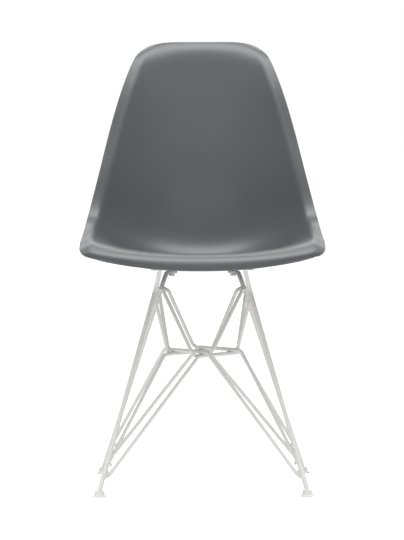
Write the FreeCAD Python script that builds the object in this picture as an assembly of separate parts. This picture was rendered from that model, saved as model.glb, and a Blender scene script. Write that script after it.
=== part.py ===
import FreeCAD, Part
import math
import os

# Moulded plastic side chair on a base of bent and welded steel rods.
# Millimetres, +Z up, the sitter faces -Y. Every piece is built around the vertical
# axis between the four feet, and moved at the end so that the origin lies on the
# floor under the middle of the chair's overall size.

# Seat shell
shell_thickness = 5.0
flange_width = 20.0          # strip along both sides that turns down
flange_bend_reach = 6.0      # of the rounding, to each side of the flange's inner line
dish_power = 2.3             # 2 is a round hollow, more is flatter in the middle
front_sweep_power = 2.5      # the same for the curve of the front edge
top_sweep_power = 5.0        # and of the top edge
grid_steps_over_dish = 24
grid_steps_over_flange = 8
grid_steps_per_station = 2

# Stations along the middle of the sitter's side, from the front lip over the seat
# and up the back: y, height above the middle of the mounts' plane, half width, dish
# at the rim, lean of the dish, sweep of the rim along the shell, drop of the flange at
# its edge. The lean is the angle between straight up and the way that the sides rise.
shell_stations = [
    (-240.3, 13.4, 186.0, 15.0, 0.0, 34.0, 0.0),
    (-234.5, 26.4, 218.2, 13.5, 0.0, 38.0, 2.0),
    (-223.0, 36.7, 229.6, 15.6, 0.0, 40.0, 5.0),
    (-205.0, 41.5, 230.5, 20.5, 1.0, 35.0, 10.0),
    (-150.0, 35.0, 230.2, 40.0, 4.0, 18.0, 17.0),
    (-60.0, 19.0, 229.7, 62.0, 8.0, 4.0, 20.0),
    (30.0, 4.5, 228.3, 85.0, 14.0, 0.0, 21.0),
    (105.0, 0.0, 225.0, 106.5, 22.4, 0.0, 21.0),
    (158.0, 17.0, 220.4, 116.5, 33.7, 0.0, 21.0),
    (186.0, 64.0, 212.8, 105.5, 43.1, 0.0, 21.0),
    (202.0, 139.0, 200.6, 81.0, 55.0, 0.0, 21.0),
    (226.0, 234.0, 182.0, 60.0, 70.0, 0.0, 21.0),
    (257.0, 334.0, 155.0, 45.0, 72.0, -4.0, 18.0),
    (268.5, 370.0, 143.9, 34.5, 72.0, -9.0, 13.0),
    (279.4, 401.5, 132.2, 21.0, 72.0, -13.0, 7.0),
    (284.2, 411.2, 127.1, 15.0, 72.0, -14.0, 4.5),
    (289.8, 419.0, 120.2, 9.5, 72.0, -14.0, 2.0),
    (296.5, 425.5, 110.0, 5.0, 72.0, -13.0, 0.0),
]

# Mounting points under the seat, on one plane that falls towards the back
mount_plane_height = 414.0   # where the plane crosses the feet's middle axis
mount_plane_tilt = 8.1       # degrees
mount_distance = 75.0        # from the middle axis to each pair, along Y
front_mount_half_spacing = 91.5
rear_mount_half_spacing = 58.5
boss_radius = 10.0
boss_blank_length = 40.0      # before the boss is trimmed inside the shell

# Fasteners, for each of the four mounting points
insert_radius = 4.0
insert_length = 10.0
insert_hole_spare_depth = 1.0
bolt_radius = 3.0
bolt_engagement = 9.0
bolt_head_across_flats = 10.0
bolt_head_height = 4.0
bolt_head_chamfer = 0.6
lock_washer_radius = 5.6
lock_washer_thickness = 1.4
lock_washer_split = 1.0
bolt_clearance = 0.3         # radial, in the mounting plate and in the washer

# Mounting plates, welded along the upper ends of the legs
plate_thickness = 3.0
plate_length = 20.0
plate_outer_margin = 10.0    # from the bolt's axis to the plate's free edge
plate_corner_radius = 5.0
bolt_to_leg_axis = 10.8
plate_weld_reach = 2.0       # of the plate's edge from the leg's axis
leg_drop_below_plane = 0.3   # keeps the leg's round top clear of the boss

# Legs
leg_diameter = 9.0
foot_half_width = 194.8
foot_half_depth = 196.0
leg_end_height = 6.0         # lower end of the rod, inside its glide
leg_middle_height = 11.0     # where the rod crosses the upright axis of its glide
neck_height = 380.0          # where the front and rear legs come closest
neck_half_gap = 9.0
front_neck_half_width = 88.0
rear_neck_half_width = 78.0
shoulder_distance = 50.0     # where the leg turns into the plane of the mounts
leg_tail = 12.0              # run of the leg past the bolt's axis
neck_bend_radius = 26.0
shoulder_bend_radius = 14.0

# Brace rods
brace_diameter = 7.0
waist_height = 255.7         # between the two layers of the waist's square
waist_half_diagonal = 54.0
weld_gap = 0.04              # between rods that lie side by side
inner_pair_strut_overrun = 21.0
inner_pair_strand_overrun = 30.0
outer_pair_strut_overrun = 13.6
outer_pair_strand_overrun = 15.0
strut_bend_radius = 9.0
strand_bend_radius = 13.0
steep_strut_top_height = 365.0
wide_strut_top_height = 378.0
wide_strut_knee_drop = 5.0   # below the strut's top
wide_strut_knee_inset = 13.0
wide_strut_knee_distance = 4.4  # from the chair's middle plane, along Y
strand_end_height = 36.5     # where an outer pair's strand meets a leg
strand_knee_inset = 13.0
inner_strand_end_height = 49.0
foot_bend_radius = 12.0
top_bend_radius = 9.0

# Glides
glide_disc_radius = 13.9
glide_disc_thickness = 2.2
glide_bell_foot_radius = 10.3
glide_bell_top_radius = 8.1
glide_height = 12.4
glide_edge_round = 0.7
glide_shoulder_round = 1.4
glide_bore_clearance = 0.05

vec = FreeCAD.Vector
UP = vec(0, 0, 1)
leg_radius = leg_diameter / 2
brace_radius = brace_diameter / 2

SIDES = {"left": -1, "right": 1}
ENDS = {"front": -1, "rear": 1}


def fitted_curve(points, parameters):
    curve = Part.BSplineCurve()
    curve.interpolate(Points=points, Parameters=parameters)
    return curve


def chord_parameters(points):
    lengths = [0.0]
    for a, b in zip(points, points[1:]):
        lengths.append(lengths[-1] + a.distanceToPoint(b))
    return lengths


class ShellForm:
    """The sitter's side of the seat, as a point for each place across and along it."""

    def __init__(self):
        middle = [vec(0, s[0], mount_plane_height + s[1]) for s in shell_stations]
        self.knots = chord_parameters(middle)
        self.middle = fitted_curve(middle, self.knots)
        self.section = fitted_curve([vec(*s[2:5]) for s in shell_stations], self.knots)
        self.rim = fitted_curve([vec(s[5], s[6], k) for s, k in zip(shell_stations, self.knots)],
                                self.knots)

    def point(self, across, along):
        start = self.middle.value(along)
        half_width, dish, lean = self.section.value(along)
        rim = self.rim.value(along)
        out = abs(across)
        from_edge = half_width * (1 - out)
        rise = dish * out ** dish_power - rim.y * self.flange_fall(from_edge)
        sweep = max(rim.x, 0.0) * out ** front_sweep_power
        sweep += min(rim.x, 0.0) * out ** top_sweep_power
        sine, cosine = math.sin(math.radians(lean)), math.cos(math.radians(lean))
        return start + vec(half_width * across, cosine * sweep - sine * rise,
                           sine * sweep + cosine * rise)

    def flange_fall(self, from_edge):
        """Share of the flange's drop, from 0 on the dish to 1 at the edge."""
        reach = flange_bend_reach
        turned = min(max((flange_width + reach - from_edge) / (2 * reach), 0.0), 1.0)
        straight = max(flange_width - reach - from_edge, 0.0)
        return (reach * turned ** 2 + straight) / flange_width

    def normal(self, across, along):
        """Unit vector towards the sitter."""
        step = 1e-3
        reach = step * self.knots[-1]
        a0, a1 = max(across - step, -1.0), min(across + step, 1.0)
        b0 = max(along - reach, self.knots[0])
        b1 = min(along + reach, self.knots[-1])
        over = self.point(a1, along) - self.point(a0, along)
        up = self.point(across, b1) - self.point(across, b0)
        return over.cross(up).normalize()

    def rows(self):
        """Places along the shell, closer together where the stations are."""
        places = []
        for a, b in zip(self.knots, self.knots[1:]):
            places += [a + (b - a) * i / grid_steps_per_station
                       for i in range(grid_steps_per_station)]
        return places + [self.knots[-1]]

    def columns(self, along):
        """Places across the shell that keep step with the flange and its rounding."""
        half_width = self.section.value(along).x
        inner = 1 - (flange_width + 2 * flange_bend_reach) / half_width
        dish = [inner * (2 * i / grid_steps_over_dish - 1) for i in range(grid_steps_over_dish + 1)]
        flange = [inner + (1 - inner) * (i + 1) / grid_steps_over_flange
                  for i in range(grid_steps_over_flange)]
        return [-a for a in reversed(flange)] + dish + flange

    def surface(self, depth):
        """The form at a depth behind the sitter's side."""
        grid = [[self.point(a, b) - self.normal(a, b) * depth for a in self.columns(b)]
                for b in self.rows()]
        surface = Part.BSplineSurface()
        surface.interpolate(grid)
        return surface

    def solid(self):
        """The shell between the sitter's side and the back of its thickness."""
        near = self.surface(0.0)
        far = self.surface(shell_thickness)
        faces = [near.toShape(), far.toShape()]
        for iso, span in (("vIso", near.bounds()[2:]), ("uIso", near.bounds()[:2])):
            for value in span:
                edges = [getattr(s, iso)(value).toShape() for s in (near, far)]
                faces.append(Part.makeRuledSurface(*edges))
        shell = Part.makeShell(faces)
        shell.sewShape()
        solid = Part.makeSolid(shell)
        if solid.Volume < 0:
            solid.reverse()
        return solid


def on_mount_plane(x, y, drop=0.0):
    """Point of the mounts' plane at (x, y), moved down square to the plane."""
    tilt = math.radians(mount_plane_tilt)
    height = mount_plane_height - math.tan(tilt) * y
    return vec(x, y, height) - mount_normal() * drop


def mount_normal():
    tilt = math.radians(mount_plane_tilt)
    return vec(0, math.sin(tilt), math.cos(tilt))


def mount_half_spacing(end):
    return front_mount_half_spacing if end < 0 else rear_mount_half_spacing


def bolt_point(side, end, drop=0.0):
    return on_mount_plane(side * mount_half_spacing(end), end * mount_distance, drop)


def to_mount(shape, side, end):
    """Turn a piece built upright at the origin into the mounts' plane at one bolt."""
    placed = shape.copy()
    placed.rotate(vec(0, 0, 0), vec(1, 0, 0), -mount_plane_tilt)
    placed.translate(bolt_point(side, end))
    return placed


def hexagon_prism(across_flats, height):
    radius = across_flats / math.sqrt(3)
    corners = [vec(radius * math.cos(math.radians(60 * i)), radius * math.sin(math.radians(60 * i)), 0)
               for i in range(7)]
    return Part.Face(Part.makePolygon(corners)).extrude(vec(0, 0, height))


def threaded_insert(side, end):
    bush = Part.makeCylinder(insert_radius, insert_length)
    bore = Part.makeCylinder(bolt_radius, insert_length)
    return to_mount(bush.cut(bore), side, end)


def bolt_stack():
    """Depth below the mounts' plane of the bolt head's bearing face."""
    return plate_thickness + lock_washer_thickness


def mounting_bolt(side, end):
    grip = bolt_stack()
    shank = Part.makeCylinder(bolt_radius, grip + bolt_engagement, vec(0, 0, -grip))
    shank = shank.makeChamfer(bolt_head_chamfer, [shank.Edges[0]])
    head = hexagon_prism(bolt_head_across_flats, bolt_head_height)
    corner_radius = bolt_head_across_flats / math.sqrt(3)
    cone = Part.makeCone(corner_radius - bolt_head_chamfer, corner_radius + bolt_head_height,
                         bolt_head_height + bolt_head_chamfer)
    head = head.common(cone)
    head.translate(vec(0, 0, -grip - bolt_head_height))
    return to_mount(shank.fuse(head).removeSplitter(), side, end)


def lock_washer(side, end):
    bore_radius = bolt_radius + bolt_clearance
    ring = Part.makeCylinder(lock_washer_radius, lock_washer_thickness)
    ring = ring.cut(Part.makeCylinder(bore_radius, lock_washer_thickness))
    split = Part.makeBox(lock_washer_radius, lock_washer_split, lock_washer_thickness)
    split.translate(vec(0, -lock_washer_split / 2, 0))
    ring = ring.cut(split)
    ring.translate(vec(0, 0, -bolt_stack()))
    return to_mount(ring, side, end)


def leg_side_of_bolt(end):
    """Front bolts lie outside their leg and rear bolts inside it."""
    return -1 if end < 0 else 1


def leg_axis_offset(side, end):
    """From the bolt's axis to the leg's upper end, along X."""
    return side * leg_side_of_bolt(end) * bolt_to_leg_axis


def mounting_plate(side, end):
    """Flat plate from the side of the leg to past the bolt, with its free corners round."""
    towards_leg = side * leg_side_of_bolt(end)
    weld_edge = towards_leg * (bolt_to_leg_axis - plate_weld_reach)
    free_edge = -towards_leg * plate_outer_margin
    low, high = sorted((weld_edge, free_edge))
    plate = Part.makeBox(high - low, plate_length, plate_thickness,
                         vec(low, -plate_length / 2, -plate_thickness))
    free_corners = [e for e in plate.Edges
                    if abs(e.CenterOfMass.x - free_edge) < 1e-6
                    and abs(e.Vertexes[0].Z - e.Vertexes[1].Z) > 1e-6]
    plate = plate.makeFillet(plate_corner_radius, free_corners)
    hole = Part.makeCylinder(bolt_radius + bolt_clearance, plate_thickness,
                             vec(0, 0, -plate_thickness))
    return to_mount(plate.cut(hole), side, end)


def bent_rod(corners, bend_radii, diameter):
    """Round rod along straight runs, with an arc of its own radius at each corner."""
    edges = []
    start = corners[0]
    for before, corner, after, radius in zip(corners, corners[1:], corners[2:], bend_radii):
        inward = (before - corner).normalize()
        outward = (after - corner).normalize()
        half_angle = inward.getAngle(outward) / 2
        run = radius / math.tan(half_angle)
        centre = corner + (inward + outward).normalize() * (radius / math.sin(half_angle))
        first, last = corner + inward * run, corner + outward * run
        middle = centre + (corner - centre).normalize() * radius
        edges.append(Part.makeLine(start, first))
        edges.append(Part.Arc(first, middle, last).toShape())
        start = last
    edges.append(Part.makeLine(start, corners[-1]))
    path = Part.Wire(edges)
    section = Part.Wire([Part.makeCircle(diameter / 2, corners[0], corners[1] - corners[0])])
    return path.makePipeShell([section], True, False)


def foot_point(side, end):
    return vec(side * foot_half_width, end * foot_half_depth, 0)


def neck_point(side, end):
    half_width = front_neck_half_width if end < 0 else rear_neck_half_width
    return vec(side * half_width, end * neck_half_gap, neck_height)


def leg_point(side, end, height):
    """Point of a leg's straight lower run at a height."""
    low = foot_point(side, end) + UP * leg_middle_height
    high = neck_point(side, end)
    return low + (high - low) * ((height - leg_middle_height) / (neck_height - leg_middle_height))


def leg_corners(side, end):
    upper_x = side * mount_half_spacing(end) + leg_axis_offset(side, end)
    drop = leg_radius + leg_drop_below_plane
    shoulder = on_mount_plane(upper_x, end * shoulder_distance, drop)
    tail = on_mount_plane(upper_x, end * (mount_distance + leg_tail), drop)
    return [leg_point(side, end, leg_end_height), neck_point(side, end), shoulder, tail]


def leg(side, end):
    return bent_rod(leg_corners(side, end), (neck_bend_radius, shoulder_bend_radius), leg_diameter)


def glide(side, end):
    """Bell-shaped foot with a thin disc under it, bored along its leg."""
    outline = [
        vec(0, 0, 0),
        vec(glide_disc_radius - glide_edge_round, 0, 0),
        vec(glide_disc_radius, 0, glide_edge_round),
        vec(glide_disc_radius, 0, glide_disc_thickness - glide_edge_round),
        vec(glide_disc_radius - glide_edge_round, 0, glide_disc_thickness),
        vec(glide_bell_foot_radius, 0, glide_disc_thickness + glide_edge_round),
        vec(glide_bell_top_radius, 0, glide_height - glide_shoulder_round),
        vec(glide_bell_top_radius - glide_shoulder_round, 0, glide_height),
        vec(0, 0, glide_height),
        vec(0, 0, 0),
    ]
    body = Part.Face(Part.makePolygon(outline)).revolve(vec(0, 0, 0), UP, 360)
    body.translate(foot_point(side, end))
    low = leg_point(side, end, leg_end_height)
    high = leg_point(side, end, neck_height)
    bore = Part.makeCylinder(leg_radius + glide_bore_clearance, glide_height * 2, low, high - low)
    return body.cut(bore)


def waist_corner(run, square_side, layer, overrun, outer):
    """Corner of a brace rod beyond one end of its side of the waist's square.

    The side lies between a left or right point and a front or rear point of the
    square. The run says which of the two is passed.
    """
    x_sign, y_sign = square_side
    flank = vec(x_sign * waist_half_diagonal, 0, 0)
    end = vec(0, y_sign * waist_half_diagonal, 0)
    along = (end - flank).normalize()
    outward = vec(x_sign, y_sign, 0).normalize()
    passed = end + along * overrun if run == "end" else flank - along * overrun
    shift = (brace_radius + weld_gap / 2) * (1 if outer else -1)
    height = waist_height + layer * (brace_radius + weld_gap / 2)
    return passed + outward * shift + vec(0, 0, height)


def outer_brace(square_side, layer):
    """Steep strut down to the flank, along the square, then a strand to the far foot."""
    x_sign, y_sign = square_side
    top = leg_point(x_sign, -y_sign, steep_strut_top_height)
    low = leg_point(-x_sign, y_sign, strand_end_height)
    knee = low + vec(x_sign, -y_sign, 0).normalize() * strand_knee_inset
    corners = [
        top,
        waist_corner("flank", square_side, layer, outer_pair_strut_overrun, True),
        waist_corner("end", square_side, layer, outer_pair_strand_overrun, True),
        knee,
        low,
    ]
    radii = (strut_bend_radius, strand_bend_radius, foot_bend_radius)
    return bent_rod(corners, radii, brace_diameter)


def inner_brace(square_side, layer):
    """Wide strut down to the front or rear, along the square, then a strand to a near foot."""
    x_sign, y_sign = square_side
    top = leg_point(-x_sign, y_sign, wide_strut_top_height)
    knee = vec(top.x + x_sign * wide_strut_knee_inset, y_sign * wide_strut_knee_distance,
               top.z - wide_strut_knee_drop)
    corners = [
        top,
        knee,
        waist_corner("end", square_side, layer, inner_pair_strut_overrun, False),
        waist_corner("flank", square_side, layer, inner_pair_strand_overrun, False),
        leg_point(x_sign, -y_sign, inner_strand_end_height),
    ]
    radii = (top_bend_radius, strut_bend_radius, strand_bend_radius)
    return bent_rod(corners, radii, brace_diameter)


def form_prism_above(form):
    """Everything above the middle of the shell's thickness, to trim the bosses."""
    face = form.surface(shell_thickness / 2).toShape()
    return face.extrude(UP * boss_blank_length * 2)


def seat_shell():
    """The moulding with its four bosses, each with a blind hole for an insert."""
    form = ShellForm()
    body = form.solid()
    above = form_prism_above(form)
    depth = insert_length + insert_hole_spare_depth
    for side in SIDES.values():
        for end in ENDS.values():
            boss = Part.makeCylinder(boss_radius, boss_blank_length)
            hole = Part.makeCylinder(insert_radius, depth)
            body = body.fuse(to_mount(boss, side, end).cut(above))
            body = body.cut(to_mount(hole, side, end))
    return body


def main():
    os.makedirs("parts", exist_ok=True)
    legs = {}
    pieces = {"seat_shell": seat_shell()}
    for end_name, end in ENDS.items():
        for side_name, side in SIDES.items():
            place = f"{end_name}_{side_name}"
            legs[place] = leg(side, end)
            pieces[f"{place}_leg"] = legs[place]
            pieces[f"{place}_mounting_plate"] = mounting_plate(side, end).cut(legs[place])
            pieces[f"{place}_threaded_insert"] = threaded_insert(side, end)
            pieces[f"{place}_mounting_bolt"] = mounting_bolt(side, end)
            pieces[f"{place}_lock_washer"] = lock_washer(side, end)
            pieces[f"{place}_glide"] = glide(side, end)
    all_legs = Part.makeCompound(list(legs.values()))
    for end_name, end in ENDS.items():
        for side_name, side in SIDES.items():
            place = f"{end_name}_{side_name}"
            # Opposite sides of the square share a layer
            layer = side * end
            outer = outer_brace((side, end), layer)
            inner = inner_brace((side, end), layer)
            pieces[f"{place}_outer_brace"] = outer.cut(all_legs)
            pieces[f"{place}_inner_brace"] = inner.cut(all_legs)
    box = Part.makeCompound(list(pieces.values())).BoundBox
    to_origin = vec(-box.Center.x, -box.Center.y, 0)
    for name, shape in pieces.items():
        shape.translate(to_origin)
        shape.exportStep(f"parts/{name}.step")


main()
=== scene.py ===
import math

import bmesh
import bpy
import numpy as np
from mathutils import Matrix, Vector
from mathutils.bvhtree import BVHTree


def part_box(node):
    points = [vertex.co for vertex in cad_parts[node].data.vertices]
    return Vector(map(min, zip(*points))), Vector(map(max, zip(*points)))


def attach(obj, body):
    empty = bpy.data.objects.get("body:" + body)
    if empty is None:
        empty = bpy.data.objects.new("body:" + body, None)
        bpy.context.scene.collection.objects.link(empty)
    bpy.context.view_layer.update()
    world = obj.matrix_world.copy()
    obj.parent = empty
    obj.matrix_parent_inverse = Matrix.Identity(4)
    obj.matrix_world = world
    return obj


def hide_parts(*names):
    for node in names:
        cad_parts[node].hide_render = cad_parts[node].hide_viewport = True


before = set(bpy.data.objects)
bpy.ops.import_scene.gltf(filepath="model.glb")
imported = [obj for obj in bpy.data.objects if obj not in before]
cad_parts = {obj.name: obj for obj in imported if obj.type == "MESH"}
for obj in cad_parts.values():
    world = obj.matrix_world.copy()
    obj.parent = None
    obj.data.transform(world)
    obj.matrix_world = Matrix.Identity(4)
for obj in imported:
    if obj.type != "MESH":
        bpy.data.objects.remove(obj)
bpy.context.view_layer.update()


# Seat shell. One injection moulding in grey plastic, seat and back together, about
# 5 mm thick. Its sides roll back in a flange, the front edge rolls down, and four
# round bosses below take the bolts.

MM = 0.001
# The chair is drawn around the middle of its four feet, which lies behind the origin
FEET_MIDDLE_Y = (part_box("front_left_glide")[0][1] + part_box("rear_left_glide")[1][1]) / 2

MOUNT_HEIGHT = 414 * MM
# Along the middle of the sitter's side, in mm: y, height over the mounts, half width,
# dish, lean of the dish in degrees, sweep of the rim along the shell, drop of the flange
SHELL_STATIONS = [
    (-240.3, 13.4, 186.0, 15.0, 0.0, 34.0, 0.0),
    (-234.5, 26.4, 218.2, 13.5, 0.0, 38.0, 2.0),
    (-223.0, 36.7, 229.6, 15.6, 0.0, 40.0, 5.0),
    (-205.0, 41.5, 230.5, 20.5, 1.0, 35.0, 10.0),
    (-150.0, 35.0, 230.2, 40.0, 4.0, 18.0, 17.0),
    (-60.0, 19.0, 229.7, 62.0, 8.0, 4.0, 20.0),
    (30.0, 4.5, 228.3, 85.0, 14.0, 0.0, 21.0),
    (105.0, 0.0, 225.0, 106.5, 22.4, 0.0, 21.0),
    (158.0, 17.0, 220.4, 116.5, 33.7, 0.0, 21.0),
    (186.0, 64.0, 212.8, 105.5, 43.1, 0.0, 21.0),
    (202.0, 139.0, 200.6, 81.0, 55.0, 0.0, 21.0),
    (226.0, 234.0, 182.0, 60.0, 70.0, 0.0, 21.0),
    (257.0, 334.0, 155.0, 45.0, 72.0, -4.0, 18.0),
    (268.5, 370.0, 143.9, 34.5, 72.0, -9.0, 13.0),
    (279.4, 401.5, 132.2, 21.0, 72.0, -13.0, 7.0),
    (284.2, 411.2, 127.1, 15.0, 72.0, -14.0, 4.5),
    (289.8, 419.0, 120.2, 9.5, 72.0, -14.0, 2.0),
    (296.5, 425.5, 110.0, 5.0, 72.0, -13.0, 0.0),
]
SHELL_THICKNESS = 5.0 * MM
SHELL_ROWS = 110
SHELL_COLUMNS = 121
RIM_ROUND = 1.9 * MM


def smooth_rows(stations, count):
    """Rows spaced evenly along a natural cubic spline through the stations."""
    values = np.array(stations)
    lengths = np.hypot(np.diff(values[:, 0]), np.diff(values[:, 1]))
    knots = np.concatenate([[0.0], np.cumsum(lengths)])
    n = len(knots)
    system, right = np.zeros((n, n)), np.zeros_like(values)
    system[0, 0] = system[-1, -1] = 1.0
    for i in range(1, n - 1):
        before, after = knots[i] - knots[i - 1], knots[i + 1] - knots[i]
        system[i, i - 1:i + 2] = before, 2 * (before + after), after
        right[i] = 6 * ((values[i + 1] - values[i]) / after - (values[i] - values[i - 1]) / before)
    bend = np.linalg.solve(system, right)
    rows = []
    for place in np.linspace(knots[0], knots[-1], count):
        i = min(int(np.searchsorted(knots, place, side="right")) - 1, n - 2)
        span = knots[i + 1] - knots[i]
        a, b = (knots[i + 1] - place) / span, (place - knots[i]) / span
        rows.append(a * values[i] + b * values[i + 1]
                    + ((a ** 3 - a) * bend[i] + (b ** 3 - b) * bend[i + 1]) * span ** 2 / 6)
    return np.array(rows)


class Nodes:
    """Adds nodes to a tree and joins them, so that a tree reads as a few lines."""

    def __init__(self, tree):
        self.tree = tree

    def add(self, kind, values=None, **settings):
        node = self.tree.nodes.new(kind)
        for key, value in settings.items():
            setattr(node, key, value)
        for key, value in (values or {}).items():
            self.feed(node.inputs[key], value)
        return node

    def feed(self, socket, value):
        if isinstance(value, bpy.types.Node):
            value = value.outputs[0]
        if isinstance(value, bpy.types.NodeSocket):
            self.tree.links.new(value, socket)
        else:
            socket.default_value = value

    def math(self, operation, *values):
        return self.add("ShaderNodeMath", dict(enumerate(values)), operation=operation)

    def named(self, name, data_type="FLOAT"):
        return self.add("GeometryNodeInputNamedAttribute", {"Name": name}, data_type=data_type).outputs[0]


def geometry_tree(name, sizes):
    """An empty Geometry Nodes tree with one geometry in and out, and named inputs."""
    tree = bpy.data.node_groups.new(name, "GeometryNodeTree")
    tree.interface.new_socket("Geometry", in_out="INPUT", socket_type="NodeSocketGeometry")
    tree.interface.new_socket("Geometry", in_out="OUTPUT", socket_type="NodeSocketGeometry")
    for label, kind in sizes.items():
        tree.interface.new_socket(label, in_out="INPUT", socket_type=f"NodeSocket{kind}")
    nodes = Nodes(tree)
    return nodes, nodes.add("NodeGroupInput"), nodes.add("NodeGroupOutput")


def grown(obj, tree, sizes):
    """The mesh that a tree grows on an object, after all the object's modifiers."""
    modifier = obj.modifiers.new(tree.name, "NODES")
    modifier.node_group = tree
    for label, value in sizes.items():
        modifier[tree.interface.items_tree[label].identifier] = value
    obj.modifiers.move(len(obj.modifiers) - 1, 0)
    return settled(obj)


def settled(obj):
    """Replaces an object's mesh by what its modifiers make of it."""
    graph = bpy.context.evaluated_depsgraph_get()
    made = bpy.data.meshes.new_from_object(obj.evaluated_get(graph))
    obj.modifiers.clear()
    obj.data = made
    made.name = obj.name
    return obj


def new_object(name, mesh):
    obj = bpy.data.objects.new(name, mesh)
    bpy.context.scene.collection.objects.link(obj)
    return obj


def closing_nodes(nodes, out, geometry, material):
    """The end of every tree: real geometry, smooth, with its material."""
    real = nodes.add("GeometryNodeRealizeInstances", {"Geometry": geometry})
    smooth = nodes.add("GeometryNodeSetShadeSmooth", {"Geometry": real})
    done = nodes.add("GeometryNodeSetMaterial", {"Geometry": smooth, "Material": material})
    nodes.feed(out.inputs[0], done)


def fine_grain_group():
    """Fine moulded grain: a speckled colour, a drifting roughness, and a height for Bump."""
    tree = bpy.data.node_groups.new("moulded grain", "ShaderNodeTree")
    for label, kind in (("Color", "Color"), ("Grain Scale", "Float"), ("Speckle", "Float")):
        tree.interface.new_socket(label, in_out="INPUT", socket_type=f"NodeSocket{kind}")
    for label, kind in (("Color", "Color"), ("Roughness", "Float"), ("Height", "Float")):
        tree.interface.new_socket(label, in_out="OUTPUT", socket_type=f"NodeSocket{kind}")
    nodes = Nodes(tree)
    given, out = nodes.add("NodeGroupInput"), nodes.add("NodeGroupOutput")
    place = nodes.add("ShaderNodeTexCoord").outputs["Object"]
    grain = nodes.add("ShaderNodeTexNoise", {"Vector": place, "Scale": given.outputs["Grain Scale"],
                                             "Detail": 2.0, "Roughness": 0.6})
    cloud = nodes.add("ShaderNodeTexNoise", {"Vector": place, "Scale": 7.0, "Detail": 3.0})
    swing = nodes.math("MULTIPLY", nodes.math("SUBTRACT", grain.outputs["Fac"], 0.5),
                       given.outputs["Speckle"])
    drift = nodes.math("MULTIPLY", nodes.math("SUBTRACT", cloud.outputs["Fac"], 0.5), 0.10)
    level = nodes.math("ADD", nodes.math("ADD", swing, drift), 1.0)
    tint = nodes.add("ShaderNodeVectorMath", {0: given.outputs["Color"], "Scale": level},
                     operation="SCALE")
    rough = nodes.math("MULTIPLY_ADD", cloud.outputs["Fac"], 0.08, 0.335)
    nodes.feed(out.inputs["Color"], tint)
    nodes.feed(out.inputs["Roughness"], rough)
    nodes.feed(out.inputs["Height"], grain.outputs["Fac"])
    return tree


moulded_grain = fine_grain_group()


def principled(name):
    """A new material, its nodes and its Principled shader."""
    material = bpy.data.materials.new(name)
    material.use_nodes = True
    return material, Nodes(material.node_tree), material.node_tree.nodes["Principled BSDF"]


def moulded_plastic(name, colour, grain_scale, speckle, bump, specular):
    material, nodes, shader = principled(name)
    grain = nodes.add("ShaderNodeGroup", node_tree=moulded_grain)
    for label, value in (("Color", colour), ("Grain Scale", grain_scale), ("Speckle", speckle)):
        grain.inputs[label].default_value = value
    relief = nodes.add("ShaderNodeBump", {"Height": grain.outputs["Height"], "Strength": bump,
                                          "Distance": 0.0002})
    nodes.feed(shader.inputs["Base Color"], grain.outputs["Color"])
    nodes.feed(shader.inputs["Roughness"], grain.outputs["Roughness"])
    nodes.feed(shader.inputs["Normal"], relief)
    shader.inputs["Specular IOR Level"].default_value = specular
    return material


shell_plastic = moulded_plastic("grey shell plastic", (0.0790, 0.0820, 0.0880, 1.0), 1500.0, 0.16,
                                0.35, 0.68)


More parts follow.
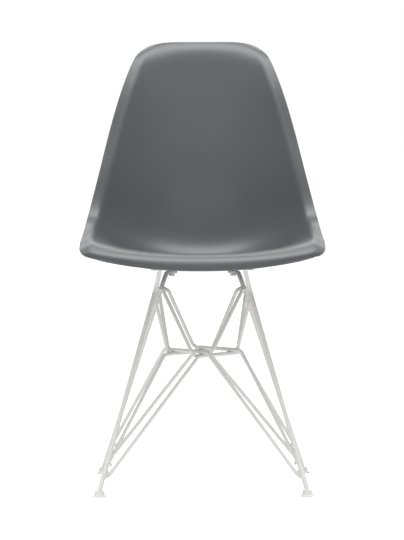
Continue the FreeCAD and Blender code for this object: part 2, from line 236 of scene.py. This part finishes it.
def shell_form_tree():
    """The sitter's side, from rows that carry their section, as part of a sheet."""
    nodes, given, out = geometry_tree("moulded shell form", {
        "Columns": "Int", "Flange Width": "Float", "Bend Reach": "Float", "Dish Power": "Float",
        "Front Sweep Power": "Float", "Top Sweep Power": "Float", "Material": "Material"})
    rows = given.outputs["Geometry"]
    count = nodes.add("GeometryNodeAttributeDomainSize", {"Geometry": rows}).outputs["Point Count"]
    sheet = nodes.add("GeometryNodeMeshGrid", {"Size X": 2.0, "Size Y": 1.0, "Vertices Y": count,
                                               "Vertices X": given.outputs["Columns"]})
    flat = nodes.add("ShaderNodeSeparateXYZ", {0: nodes.add("GeometryNodeInputPosition")})
    across = nodes.math("SINE", nodes.math("MULTIPLY", flat.outputs[0], math.pi / 2))
    far = nodes.math("ABSOLUTE", across)
    last = nodes.math("SUBTRACT", count, 1.0)
    row = nodes.math("ROUND", nodes.math("MULTIPLY", nodes.math("ADD", flat.outputs[1], 0.5), last))

    def carried(name):
        value = nodes.named(name, "FLOAT_VECTOR") if name else nodes.add("GeometryNodeInputPosition")
        sample = nodes.add("GeometryNodeSampleIndex", {"Geometry": rows, "Index": row},
                           data_type="FLOAT_VECTOR", domain="POINT")
        nodes.feed(sample.inputs["Value"], value)
        return sample

    section = nodes.add("ShaderNodeSeparateXYZ", {0: carried("section")})
    rim = nodes.add("ShaderNodeSeparateXYZ", {0: carried("rim")})
    half_width, dish, lean = section.outputs
    from_edge = nodes.math("MULTIPLY", half_width, nodes.math("SUBTRACT", 1.0, far))
    # The flange falls in a straight slope after a parabola that eases into it
    width, reach = given.outputs["Flange Width"], given.outputs["Bend Reach"]
    into_bend = nodes.math("DIVIDE", nodes.math("SUBTRACT", nodes.math("ADD", width, reach), from_edge),
                           nodes.math("MULTIPLY", reach, 2.0))
    turned_in = nodes.math("MINIMUM", nodes.math("MAXIMUM", into_bend, 0.0), 1.0)
    slope = nodes.math("MAXIMUM", nodes.math("SUBTRACT", nodes.math("SUBTRACT", width, reach),
                                             from_edge), 0.0)
    fall = nodes.math("MULTIPLY_ADD", nodes.math("POWER", turned_in, 2.0), reach, slope)
    flange = nodes.math("MULTIPLY", rim.outputs[1], nodes.math("DIVIDE", fall, width))
    rise = nodes.math("SUBTRACT", nodes.math(
        "MULTIPLY", dish, nodes.math("POWER", far, given.outputs["Dish Power"])), flange)
    front = nodes.math("MULTIPLY", nodes.math("MAXIMUM", rim.outputs[0], 0.0),
                       nodes.math("POWER", far, given.outputs["Front Sweep Power"]))
    top = nodes.math("MULTIPLY", nodes.math("MINIMUM", rim.outputs[0], 0.0),
                     nodes.math("POWER", far, given.outputs["Top Sweep Power"]))
    sweep = nodes.math("ADD", front, top)
    sine, cosine = nodes.math("SINE", lean), nodes.math("COSINE", lean)
    depth = nodes.math("SUBTRACT", nodes.math("MULTIPLY", cosine, sweep),
                       nodes.math("MULTIPLY", sine, rise))
    height = nodes.math("ADD", nodes.math("MULTIPLY", sine, sweep),
                        nodes.math("MULTIPLY", cosine, rise))
    offset = nodes.add("ShaderNodeCombineXYZ", {0: nodes.math("MULTIPLY", half_width, across),
                                                1: depth, 2: height})
    placed = nodes.add("GeometryNodeSetPosition", {"Geometry": sheet.outputs["Mesh"],
                                                   "Position": carried(None), "Offset": offset})
    closing_nodes(nodes, out, placed, given.outputs["Material"])
    return nodes.tree


rows = smooth_rows(SHELL_STATIONS, SHELL_ROWS)
row_mesh = bpy.data.meshes.new("shell rows")
row_mesh.from_pydata([(0, r[0] * MM + FEET_MIDDLE_Y, r[1] * MM + MOUNT_HEIGHT) for r in rows],
                     [(i, i + 1) for i in range(SHELL_ROWS - 1)], [])
section = row_mesh.attributes.new("section", "FLOAT_VECTOR", "POINT")
rim = row_mesh.attributes.new("rim", "FLOAT_VECTOR", "POINT")
for place, r in enumerate(rows):
    section.data[place].vector = (r[2] * MM, r[3] * MM, math.radians(r[4]))
    rim.data[place].vector = (r[5] * MM, r[6] * MM, 0)
shell = grown(new_object("seat_and_back", row_mesh), shell_form_tree(), {
    "Columns": SHELL_COLUMNS, "Flange Width": 20 * MM, "Bend Reach": 6 * MM, "Dish Power": 2.3,
    "Front Sweep Power": 2.5, "Top Sweep Power": 5.0, "Material": shell_plastic})
sitter_side = BVHTree.FromObject(shell, bpy.context.evaluated_depsgraph_get())

wall = shell.modifiers.new("wall", "SOLIDIFY")
wall.thickness = SHELL_THICKNESS
wall.offset = -1.0
wall.use_even_offset = True
rim_round = shell.modifiers.new("rounded rim", "BEVEL")
rim_round.width = RIM_ROUND
rim_round.segments = 4
rim_round.limit_method = "ANGLE"
rim_round.angle_limit = math.radians(50)
settled(shell)

# The mounts' plane falls towards the back under the seat
MOUNT_TILT = math.radians(8.1)
MOUNT_DISTANCE = 75 * MM
FRONT_MOUNT_X = 91.5 * MM
REAR_MOUNT_X = 58.5 * MM
PLACES = {"front_left": (-1, -1), "front_right": (1, -1), "rear_left": (-1, 1), "rear_right": (1, 1)}


def mount_matrix(place):
    """From a fitting drawn upright at the origin to its place on the mounts' plane."""
    side, end = PLACES[place]
    y = end * MOUNT_DISTANCE
    x = side * (FRONT_MOUNT_X if end < 0 else REAR_MOUNT_X)
    spot = Vector((x, y + FEET_MIDDLE_Y, MOUNT_HEIGHT - math.tan(MOUNT_TILT) * y))
    return Matrix.Translation(spot) @ Matrix.Rotation(-MOUNT_TILT, 4, "X")


def turned(outline, steps):
    """A lathe-turned mesh from points (radius, height), listed from the bottom up."""
    mesh = bmesh.new()
    rings = []
    for radius, height in outline:
        rings.append([mesh.verts.new((radius * math.cos(2 * math.pi * i / steps),
                                      radius * math.sin(2 * math.pi * i / steps), height))
                      for i in range(steps)])
    for low, high in zip(rings, rings[1:]):
        for i in range(steps):
            j = (i + 1) % steps
            mesh.faces.new((low[i], low[j], high[j], high[i]))
    mesh.faces.new(list(reversed(rings[0])))
    mesh.faces.new(rings[-1])
    return mesh


def as_mesh(bm, name):
    mesh = bpy.data.meshes.new(name)
    bmesh.ops.recalc_face_normals(bm, faces=bm.faces)
    bm.to_mesh(mesh)
    bm.free()
    return mesh


BOSS_RADIUS = 10 * MM
BOSS_EASE = 0.8 * MM
BOSS_DRAWN_HEIGHT = 12 * MM
INSERT_RADIUS = 4 * MM
INSERT_DEPTH = 11 * MM
INSERT_CHAMFER = 0.4 * MM
WELL_BELOW_SHELL = 0.1


def boss_mesh():
    """The four bosses. Each ends inside the shell's wall, whatever the wall's slope."""
    joined = bmesh.new()
    for place in PLACES:
        matrix = mount_matrix(place)
        boss = turned([(INSERT_RADIUS, INSERT_DEPTH), (INSERT_RADIUS, INSERT_CHAMFER),
                       (INSERT_RADIUS + INSERT_CHAMFER, 0), (BOSS_RADIUS - BOSS_EASE, 0),
                       (BOSS_RADIUS, BOSS_EASE), (BOSS_RADIUS, BOSS_DRAWN_HEIGHT)], 48)
        up = matrix.to_3x3() @ Vector((0, 0, 1))
        for vertex in boss.verts:
            at_top = vertex.co.z >= BOSS_DRAWN_HEIGHT - 1e-6
            vertex.co = matrix @ vertex.co
            if at_top:
                start = vertex.co - up * WELL_BELOW_SHELL
                hit = sitter_side.ray_cast(start, up)[0]
                vertex.co = hit - up * SHELL_THICKNESS * 0.5
        mesh = as_mesh(boss, "boss")
        joined.from_mesh(mesh)
        bpy.data.meshes.remove(mesh)
    return as_mesh(joined, "bosses")


bosses = new_object("bosses", boss_mesh())
join = shell.modifiers.new("bosses", "BOOLEAN")
join.operation = "UNION"
join.solver = "EXACT"
join.object = bosses
settled(shell)
bpy.data.objects.remove(bosses)
shell.data.materials.clear()
shell.data.materials.append(shell_plastic)
shell.data.shade_smooth()
shell.data.set_sharp_from_angle(angle=math.radians(38))
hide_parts("seat_shell")
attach(shell, "root")


# Legs and braces. Twelve round steel rods, bent cold, welded to each other and then
# powder-coated white as one base. A leg is 9 mm rod and a brace 7 mm. Every brace
# ends in a weld at the side of a leg.


def coating_group():
    """The faint waviness of a sprayed and baked coat, with a little uneven tone."""
    tree = bpy.data.node_groups.new("baked coat", "ShaderNodeTree")
    tree.interface.new_socket("Color", in_out="INPUT", socket_type="NodeSocketColor")
    for label, kind in (("Color", "Color"), ("Roughness", "Float"), ("Height", "Float")):
        tree.interface.new_socket(label, in_out="OUTPUT", socket_type=f"NodeSocket{kind}")
    nodes = Nodes(tree)
    given, out = nodes.add("NodeGroupInput"), nodes.add("NodeGroupOutput")
    place = nodes.add("ShaderNodeTexCoord").outputs["Object"]
    peel = nodes.add("ShaderNodeTexNoise", {"Vector": place, "Scale": 520.0, "Detail": 1.0})
    cloud = nodes.add("ShaderNodeTexNoise", {"Vector": place, "Scale": 24.0, "Detail": 3.0})
    level = nodes.math("MULTIPLY_ADD", cloud.outputs["Fac"], 0.08, 0.96)
    tint = nodes.add("ShaderNodeVectorMath", {0: given.outputs["Color"], "Scale": level},
                     operation="SCALE")
    nodes.feed(out.inputs["Color"], tint)
    nodes.feed(out.inputs["Roughness"], nodes.math("MULTIPLY_ADD", cloud.outputs["Fac"], 0.12, 0.30))
    nodes.feed(out.inputs["Height"], peel.outputs["Fac"])
    return tree


def coated_steel_material():
    material, nodes, shader = principled("white coated steel")
    coat = nodes.add("ShaderNodeGroup", node_tree=coating_group())
    coat.inputs["Color"].default_value = (0.80, 0.795, 0.78, 1.0)
    relief = nodes.add("ShaderNodeBump", {"Height": coat.outputs["Height"], "Strength": 0.25,
                                          "Distance": 0.0001})
    nodes.feed(shader.inputs["Base Color"], coat.outputs["Color"])
    nodes.feed(shader.inputs["Roughness"], coat.outputs["Roughness"])
    nodes.feed(shader.inputs["Normal"], relief)
    return material


coated_steel = coated_steel_material()

LEG_RADIUS = 4.5 * MM
BRACE_RADIUS = 3.5 * MM
NECK_HEIGHT = 380 * MM
FRONT_NECK_X, REAR_NECK_X, NECK_Y = 88 * MM, 78 * MM, 9 * MM
FOOT_X, FOOT_Y = 194.8 * MM, 196 * MM
# Where a leg's line crosses its glide's axis, and where the rod ends inside the glide
BORE_HEIGHT = 11 * MM
LEG_END_HEIGHT = 6 * MM
BOLT_TO_LEG = 10.8 * MM
LEG_CLEARANCE = 0.3 * MM
SHOULDER_RUN, TAIL_RUN = -25 * MM, 12 * MM
LEG_BENDS = (26 * MM, 14 * MM)


def bent_rod_tree():
    """A round rod along straight runs, with an arc at each corner."""
    nodes, given, out = geometry_tree("bent rod", {
        "Rod Radius": "Float", "Sides": "Int", "Arc Steps": "Int", "Material": "Material"})
    path = nodes.add("GeometryNodeMeshToCurve", {"Mesh": given.outputs["Geometry"]})
    bent = nodes.add("GeometryNodeFilletCurve", {
        "Curve": path, "Count": given.outputs["Arc Steps"], "Radius": nodes.named("bend_radius"),
        "Limit Radius": True}, mode="POLY")
    ring = nodes.add("GeometryNodeCurvePrimitiveCircle", {
        "Resolution": given.outputs["Sides"], "Radius": given.outputs["Rod Radius"]})
    rod = nodes.add("GeometryNodeCurveToMesh", {"Curve": bent, "Profile Curve": ring,
                                                "Fill Caps": True})
    closing_nodes(nodes, out, rod, given.outputs["Material"])
    return nodes.tree


rod_tree = bent_rod_tree()


def bent_rod(name, corners, bend_radii, radius):
    path = bpy.data.meshes.new(name)
    path.from_pydata(corners, [(i, i + 1) for i in range(len(corners) - 1)], [])
    bends = path.attributes.new("bend_radius", "FLOAT", "POINT")
    for i, bend in enumerate(bend_radii):
        bends.data[i + 1].value = bend
    rod = grown(new_object(name, path), rod_tree, {
        "Rod Radius": radius, "Sides": 32, "Arc Steps": 14, "Material": coated_steel})
    ends = rod.modifiers.new("eased ends", "BEVEL")
    ends.width = 0.6 * MM
    ends.segments = 3
    ends.limit_method = "ANGLE"
    ends.angle_limit = math.radians(60)
    settled(rod)
    rod.data.shade_smooth()
    rod.data.set_sharp_from_angle(angle=math.radians(50))
    return rod


def foot_point(side, end, height=0):
    return Vector((side * FOOT_X, end * FOOT_Y + FEET_MIDDLE_Y, height))


def neck_point(side, end):
    x = FRONT_NECK_X if end < 0 else REAR_NECK_X
    return Vector((side * x, end * NECK_Y + FEET_MIDDLE_Y, NECK_HEIGHT))


def leg_point(side, end, height):
    """Point on a leg's straight lower run, which crosses its glide's axis in the bore."""
    low, high = foot_point(side, end, BORE_HEIGHT), neck_point(side, end)
    return low + (high - low) * ((height - BORE_HEIGHT) / (NECK_HEIGHT - BORE_HEIGHT))


def leg_offset(place):
    """From the bolt to the leg's upper end: outside the rear bolts, inside the front."""
    side, end = PLACES[place]
    return side * end * BOLT_TO_LEG


def leg_corners(place):
    side, end = PLACES[place]
    matrix = mount_matrix(place)
    under = -(LEG_RADIUS + LEG_CLEARANCE)
    shoulder, tail = (matrix @ Vector((leg_offset(place), end * (run / math.cos(MOUNT_TILT)), under))
                      for run in (SHOULDER_RUN, TAIL_RUN))
    return [leg_point(side, end, LEG_END_HEIGHT), neck_point(side, end), shoulder, tail]


for place in PLACES:
    leg = bent_rod(f"{place}_leg_rod", leg_corners(place), LEG_BENDS, LEG_RADIUS)
    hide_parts(f"{place}_leg")
    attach(leg, "root")

WAIST_HEIGHT = 255.7 * MM
WAIST_HALF_DIAGONAL = 54 * MM
ROD_CONTACT = 3.52 * MM
OUTER_TOP_HEIGHT, OUTER_END_HEIGHT = 365 * MM, 36.5 * MM
INNER_TOP_HEIGHT, INNER_KNEE_HEIGHT, INNER_END_HEIGHT = 378 * MM, 373 * MM, 49 * MM
KNEE_INSET = 13 * MM
INNER_KNEE_Y = 4.4 * MM
# How far a brace's corners lie past the ends of its side of the square
OUTER_OVERRUNS = {"flank": 13.6 * MM, "end": 15 * MM}
INNER_OVERRUNS = {"flank": 30 * MM, "end": 21 * MM}


def waist_corner(run, side, end, layer, overrun, outer):
    """Corner of a brace just past one end of its side of the waist's square."""
    flank = Vector((side * WAIST_HALF_DIAGONAL, 0, 0))
    far = Vector((0, end * WAIST_HALF_DIAGONAL, 0))
    along = (far - flank).normalized()
    passed = far + along * overrun if run == "end" else flank - along * overrun
    outward = Vector((side, end, 0)).normalized() * ROD_CONTACT * (1 if outer else -1)
    return passed + outward + Vector((0, FEET_MIDDLE_Y, WAIST_HEIGHT + layer * ROD_CONTACT))


def outer_corners(side, end, layer):
    """Steep strut, a side of the square, then a strand to the far foot."""
    low = leg_point(-side, end, OUTER_END_HEIGHT)
    knee = low + Vector((side, -end, 0)).normalized() * KNEE_INSET
    waist = [waist_corner(run, side, end, layer, OUTER_OVERRUNS[run], True)
             for run in ("flank", "end")]
    return [leg_point(side, -end, OUTER_TOP_HEIGHT), *waist, knee, low]


def inner_corners(side, end, layer):
    """Wide strut, the same side of the square, then a strand to a near foot."""
    top = leg_point(-side, end, INNER_TOP_HEIGHT)
    knee = Vector((top.x + side * KNEE_INSET, end * INNER_KNEE_Y + FEET_MIDDLE_Y,
                   INNER_KNEE_HEIGHT))
    waist = [waist_corner(run, side, end, layer, INNER_OVERRUNS[run], False)
             for run in ("end", "flank")]
    return [top, knee, *waist, leg_point(side, -end, INNER_END_HEIGHT)]


OUTER_BENDS = (9 * MM, 13 * MM, 12 * MM)
INNER_BENDS = (9 * MM, 9 * MM, 13 * MM)
# Each weld bead is a place, its half sizes, and a frame whose Z leaves the welded rod
beads = []
LEG_BEAD_MARGIN, LEG_BEAD_RUN = 0.7 * MM, 1.3 * MM
LEG_BEAD_LONGEST, LEG_BEAD_HEIGHT = 11 * MM, 1.7 * MM
LEG_BEAD_SINK = 0.94
WAIST_SEAM, WAIST_SEAM_STEP, WAIST_SEAM_LIFT = (2.6 * MM, 5.5 * MM, 1.1 * MM), 17 * MM, 2.3 * MM
CORNER_DAB = (4.2 * MM, 4.2 * MM, 2.0 * MM)
PLATE_SEAM, PLATE_SEAM_DROP, PLATE_SEAM_BITE = (1.3 * MM, 7.5 * MM, 1.0 * MM), 3.1 * MM, 0.2 * MM


def add_leg_bead(end_corner, next_corner, side, end):
    """A flat collar on a leg, longer and further up where the brace runs along the leg."""
    leg_way = (neck_point(side, end) - leg_point(side, end, 0)).normalized()
    brace_way = (next_corner - end_corner).normalized()
    along = brace_way.dot(leg_way)
    out = (brace_way - leg_way * along).normalized()
    slant = math.sqrt(1 - along ** 2)
    spot = end_corner + (out + leg_way * (along / slant)) * LEG_RADIUS * LEG_BEAD_SINK
    half_length = min((BRACE_RADIUS + LEG_BEAD_RUN) / slant, LEG_BEAD_LONGEST)
    turn = Matrix((leg_way.cross(out) * -1, leg_way, out)).transposed()
    beads.append((spot, (BRACE_RADIUS + LEG_BEAD_MARGIN, half_length, LEG_BEAD_HEIGHT), turn))


for place, (side, end) in PLACES.items():
    layer = side * end
    for kind, corners, bends in (("outer", outer_corners(side, end, layer), OUTER_BENDS),
                                 ("inner", inner_corners(side, end, layer), INNER_BENDS)):
        brace = bent_rod(f"{place}_{kind}_brace_rod", corners, bends, BRACE_RADIUS)
        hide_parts(f"{place}_{kind}_brace")
        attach(brace, "root")
        top_side = side if kind == "outer" else -side
        top_end = -end if kind == "outer" else end
        add_leg_bead(corners[0], corners[1], top_side, top_end)
        add_leg_bead(corners[-1], corners[-2], -top_side, -top_end)

# Two short seams join the rods that lie side by side, on each side of the waist's square
for side, end in PLACES.values():
    along = Vector((-side, end, 0)).normalized()
    out = Vector((side, end, 0)).normalized()
    middle = Vector((side, end, 0)) * WAIST_HALF_DIAGONAL / 2
    for step in (-WAIST_SEAM_STEP, WAIST_SEAM_STEP):
        for face in (-1, 1):
            up = Vector((0, 0, face))
            lift = side * end * ROD_CONTACT + face * WAIST_SEAM_LIFT
            spot = middle + along * step + Vector((0, FEET_MIDDLE_Y, WAIST_HEIGHT + lift))
            turn = Matrix((out, up.cross(out), up)).transposed()
            beads.append((spot, WAIST_SEAM, turn))
# A dab of weld fills each crossing of the square's corners
for corner in ((-1, 0), (1, 0), (0, -1), (0, 1)):
    spot = Vector((*corner, 0)) * WAIST_HALF_DIAGONAL + Vector((0, FEET_MIDDLE_Y, WAIST_HEIGHT))
    beads.append((spot, CORNER_DAB, Matrix.Identity(3)))
# A seam runs along each mounting plate where it lies on the leg
for place in PLACES:
    matrix = mount_matrix(place)
    x = leg_offset(place) - math.copysign(LEG_RADIUS - PLATE_SEAM_BITE, leg_offset(place))
    beads.append((matrix @ Vector((x, 0, -PLATE_SEAM_DROP)), PLATE_SEAM, matrix.to_3x3()))


def weld_bead_tree():
    """An uneven bead on every point, with its own size and turn."""
    nodes, given, out = geometry_tree("weld beads", {
        "Segments": "Int", "Unevenness": "Float", "Ripple Scale": "Float", "Material": "Material"})
    ball = nodes.add("GeometryNodeMeshUVSphere", {
        "Segments": given.outputs["Segments"], "Rings": 16, "Radius": 1.0})
    turn = nodes.add("FunctionNodeEulerToRotation", {0: nodes.named("bead_turn", "FLOAT_VECTOR")})
    laid = nodes.add("GeometryNodeInstanceOnPoints", {
        "Points": given.outputs["Geometry"], "Instance": ball.outputs["Mesh"], "Rotation": turn,
        "Scale": nodes.named("bead_size", "FLOAT_VECTOR")})
    real = nodes.add("GeometryNodeRealizeInstances", {"Geometry": laid})
    ripple = nodes.add("ShaderNodeTexNoise", {"Scale": given.outputs["Ripple Scale"], "Detail": 1.0,
                                              "Vector": nodes.add("GeometryNodeInputPosition")})
    swing = nodes.math("MULTIPLY", nodes.math("SUBTRACT", ripple.outputs["Fac"], 0.5),
                       given.outputs["Unevenness"])
    push = nodes.add("ShaderNodeVectorMath", {0: nodes.add("GeometryNodeInputNormal"), "Scale": swing},
                     operation="SCALE")
    moved = nodes.add("GeometryNodeSetPosition", {"Geometry": real, "Offset": push})
    closing_nodes(nodes, out, moved, given.outputs["Material"])
    return nodes.tree


bead_points = bpy.data.meshes.new("weld beads")
bead_points.from_pydata([spot for spot, _, _ in beads], [], [])
bead_size = bead_points.attributes.new("bead_size", "FLOAT_VECTOR", "POINT")
bead_turn = bead_points.attributes.new("bead_turn", "FLOAT_VECTOR", "POINT")
for place, (_, half_sizes, turn) in enumerate(beads):
    bead_size.data[place].vector = half_sizes
    bead_turn.data[place].vector = turn.to_euler()
weld_beads = grown(new_object("weld_beads", bead_points), weld_bead_tree(), {
    "Segments": 28, "Unevenness": 0.7 * MM, "Ripple Scale": 600.0, "Material": coated_steel})
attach(weld_beads, "root")


# Mounting plates, inserts, bolts and washers. Each leg ends beside a small flat plate
# that is welded to it and coated with it. A zinc-plated M6 bolt with a split washer
# passes up through the plate into a brass bush moulded into the boss.


def zinc_material():
    material, nodes, shader = principled("bright zinc plate")
    place = nodes.add("ShaderNodeTexCoord").outputs["Object"]
    bloom = nodes.add("ShaderNodeTexNoise", {"Vector": place, "Scale": 420.0, "Detail": 3.0})
    tint = nodes.add("ShaderNodeValToRGB", {"Fac": bloom.outputs["Fac"]})
    tint.color_ramp.elements[0].color = (0.50, 0.54, 0.56, 1.0)
    tint.color_ramp.elements[1].color = (0.74, 0.76, 0.75, 1.0)
    nodes.feed(shader.inputs["Base Color"], tint.outputs["Color"])
    nodes.feed(shader.inputs["Roughness"],
               nodes.math("MULTIPLY_ADD", bloom.outputs["Fac"], 0.20, 0.18))
    shader.inputs["Metallic"].default_value = 1.0
    return material


def brass_material():
    material, nodes, shader = principled("turned brass")
    place = nodes.add("ShaderNodeTexCoord").outputs["Object"]
    rings = nodes.add("ShaderNodeTexWave", {"Vector": place, "Scale": 900.0, "Distortion": 1.0},
                      bands_direction="Z")
    tint = nodes.add("ShaderNodeValToRGB", {"Fac": rings.outputs["Fac"]})
    tint.color_ramp.elements[0].color = (0.56, 0.40, 0.16, 1.0)
    tint.color_ramp.elements[1].color = (0.78, 0.60, 0.28, 1.0)
    nodes.feed(shader.inputs["Base Color"], tint.outputs["Color"])
    shader.inputs["Metallic"].default_value = 1.0
    shader.inputs["Roughness"].default_value = 0.32
    return material


zinc = zinc_material()
brass = brass_material()
for place in PLACES:
    for node, finish in (("mounting_plate", coated_steel), ("threaded_insert", brass),
                         ("mounting_bolt", zinc), ("lock_washer", zinc)):
        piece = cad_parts[f"{place}_{node}"]
        for slot in piece.material_slots:
            slot.material = finish


# Glides. Four soft white plastic feet, each moulded as a bell on a thin disc, pushed
# over the end of a leg through a slanting bore.

GLIDE_OUTLINE = [(0.0, 0.0), (13.1, 0.0), (13.65, 0.2), (13.9, 0.75), (13.9, 1.4), (13.6, 2.0),
                 (13.0, 2.3), (11.4, 2.75), (10.4, 3.6), (9.7, 5.2), (9.1, 7.4), (8.6, 9.6),
                 (8.25, 11.0), (7.7, 11.9), (6.8, 12.3), (5.2, 12.4), (0.0, 12.4)]
# A lathe-turned end needs a small flat, since its ring can't shrink to a point
LEAST_RADIUS = 0.02
BORE_RADIUS = LEG_RADIUS + 0.15 * MM
BORE_TOP_HEIGHT = 60 * MM
glide_plastic = moulded_plastic("white glide plastic", (0.78, 0.775, 0.75, 1.0), 900.0, 0.05, 0.15,
                                0.5)
for place, (side, end) in PLACES.items():
    outline = [(max(r, LEAST_RADIUS) * MM, z * MM) for r, z in GLIDE_OUTLINE]
    mesh = as_mesh(turned(outline, 64), f"{place}_glide_foot")
    mesh.transform(Matrix.Translation(foot_point(side, end)))
    glide = new_object(f"{place}_glide_foot", mesh)
    low, high = (leg_point(side, end, height) for height in (LEG_END_HEIGHT, BORE_TOP_HEIGHT))
    bore = turned([(BORE_RADIUS, 0.0), (BORE_RADIUS, (high - low).length)], 32)
    bmesh.ops.transform(bore, verts=bore.verts, matrix=Matrix.Translation(low)
                        @ (high - low).to_track_quat("Z", "Y").to_matrix().to_4x4())
    tool = new_object("bore", as_mesh(bore, "bore"))
    cut = glide.modifiers.new("bore", "BOOLEAN")
    cut.operation = "DIFFERENCE"
    cut.solver = "EXACT"
    cut.object = tool
    settled(glide)
    bpy.data.objects.remove(tool)
    glide.data.materials.clear()
    glide.data.materials.append(glide_plastic)
    glide.data.shade_smooth()
    glide.data.set_sharp_from_angle(angle=math.radians(40))
    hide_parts(f"{place}_glide")
    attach(glide, "root")


# Floor, light and camera. A pale studio floor, three large soft lights overhead, behind
# and in front, a white backdrop far behind, and a long lens from the front.

FLOOR_HALF = 150.0
FLOOR_GREY, FLOOR_GLOW = 0.68, 0.66
# What lights the chair, what the camera and mirrors see on top, and how mirrors are dimmed
SURROUND_LIGHT, SEEN_EXTRA, MIRROR_DIM = 0.66, 0.34, 0.62
floor_mesh = bpy.data.meshes.new("floor")
floor_mesh.from_pydata([(-FLOOR_HALF, -FLOOR_HALF, 0), (FLOOR_HALF, -FLOOR_HALF, 0),
                        (FLOOR_HALF, FLOOR_HALF, 0), (-FLOOR_HALF, FLOOR_HALF, 0)],
                       [], [(0, 1, 2, 3)])
floor = new_object("floor", floor_mesh)
paint = bpy.data.materials.new("pale floor")
paint.use_nodes = True
floor_nodes = Nodes(paint.node_tree)
paint.node_tree.nodes.clear()
rays = floor_nodes.add("ShaderNodeLightPath")
shown = floor_nodes.math("MAXIMUM", rays.outputs["Is Camera Ray"], rays.outputs["Is Glossy Ray"])
matt = floor_nodes.add("ShaderNodeBsdfDiffuse", {"Color": (FLOOR_GREY, FLOOR_GREY, FLOOR_GREY, 1.0)})
glow = floor_nodes.add("ShaderNodeEmission", {
    "Strength": floor_nodes.math("MULTIPLY", shown, FLOOR_GLOW)})
both = floor_nodes.add("ShaderNodeAddShader", {0: matt, 1: glow})
floor_nodes.add("ShaderNodeOutputMaterial", {"Surface": both})
floor_mesh.materials.append(paint)

world = bpy.data.worlds.new("studio")
bpy.context.scene.world = world
world.use_nodes = True
world.node_tree.nodes.clear()
sky = Nodes(world.node_tree)
rays = sky.add("ShaderNodeLightPath")
seen = sky.math("MAXIMUM", rays.outputs["Is Camera Ray"], rays.outputs["Is Transmission Ray"])
seen = sky.math("MAXIMUM", seen, rays.outputs["Is Glossy Ray"])
dim = sky.math("MULTIPLY_ADD", rays.outputs["Is Glossy Ray"], -MIRROR_DIM, 1.0)
strength = sky.math("MULTIPLY", dim,
                    sky.math("MULTIPLY_ADD", seen, SEEN_EXTRA, SURROUND_LIGHT))
surround = sky.add("ShaderNodeBackground", {"Color": (1.0, 1.0, 1.0, 1.0), "Strength": strength})
sky.add("ShaderNodeOutputWorld", {"Surface": surround})

# The paper backdrop far behind is what the grazing edges mirror
backdrop_mesh = bpy.data.meshes.new("backdrop")
backdrop_mesh.from_pydata([(-7, 14, 0), (7, 14, 0), (7, 14, 12), (-7, 14, 12)], [], [(0, 1, 2, 3)])
backdrop = new_object("backdrop", backdrop_mesh)
paper = bpy.data.materials.new("white paper")
paper.use_nodes = True
paper.node_tree.nodes.clear()
paper_nodes = Nodes(paper.node_tree)
rays = paper_nodes.add("ShaderNodeLightPath")
seen = paper_nodes.math("MAXIMUM", rays.outputs["Is Camera Ray"], rays.outputs["Is Glossy Ray"])
seen = paper_nodes.math("MAXIMUM", seen, rays.outputs["Is Transmission Ray"])
paper_glow = paper_nodes.add("ShaderNodeEmission", {
    "Strength": paper_nodes.math("MULTIPLY_ADD", seen, SEEN_EXTRA, SURROUND_LIGHT)})
paper_nodes.add("ShaderNodeOutputMaterial", {"Surface": paper_glow})
backdrop_mesh.materials.append(paper)


def soft_light(name, power, size, spot, aim):
    lamp = bpy.data.lights.new(name, "AREA")
    lamp.shape = "RECTANGLE"
    lamp.size, lamp.size_y = size
    lamp.energy = power
    obj = bpy.data.objects.new(name, lamp)
    bpy.context.scene.collection.objects.link(obj)
    obj.location = spot
    obj.rotation_euler = (Vector(aim) - Vector(spot)).to_track_quat("-Z", "Y").to_euler()
    obj.visible_camera = False


soft_light("overhead light", 62, (2.6, 1.4), (0.0, -0.25, 2.9), (0.0, -0.2, 0.4))
soft_light("rear light", 56, (4.4, 1.6), (0.0, 2.6, 3.2), (0.0, -0.2, 0.45))
soft_light("front light", 22, (3.0, 2.0), (0.0, -4.0, 0.95), (0.0, 0.0, 0.45))

# The long lens stands level with the waist of a standing person and looks a little down
camera_data = bpy.data.cameras.new("camera")
camera_data.sensor_fit = "VERTICAL"
camera_data.sensor_height = 36.0
camera_data.lens = 323.14
camera_data.clip_end = 500.0
camera = bpy.data.objects.new("camera", camera_data)
bpy.context.scene.collection.objects.link(camera)
CAMERA_PITCH = 0.07026
CAMERA_ROLL = 0.0035
CAMERA_X, CAMERA_DISTANCE, CAMERA_HEIGHT = -0.00095, 9.2271, 1.06116
camera.location = (CAMERA_X, FEET_MIDDLE_Y - CAMERA_DISTANCE, CAMERA_HEIGHT)
camera.rotation_euler = (Matrix.Rotation(math.pi / 2 - CAMERA_PITCH, 3, "X")
                         @ Matrix.Rotation(-CAMERA_ROLL, 3, "Z")).to_euler()
bpy.context.scene.camera = camera
bpy.context.scene.view_settings.view_transform = "Standard"
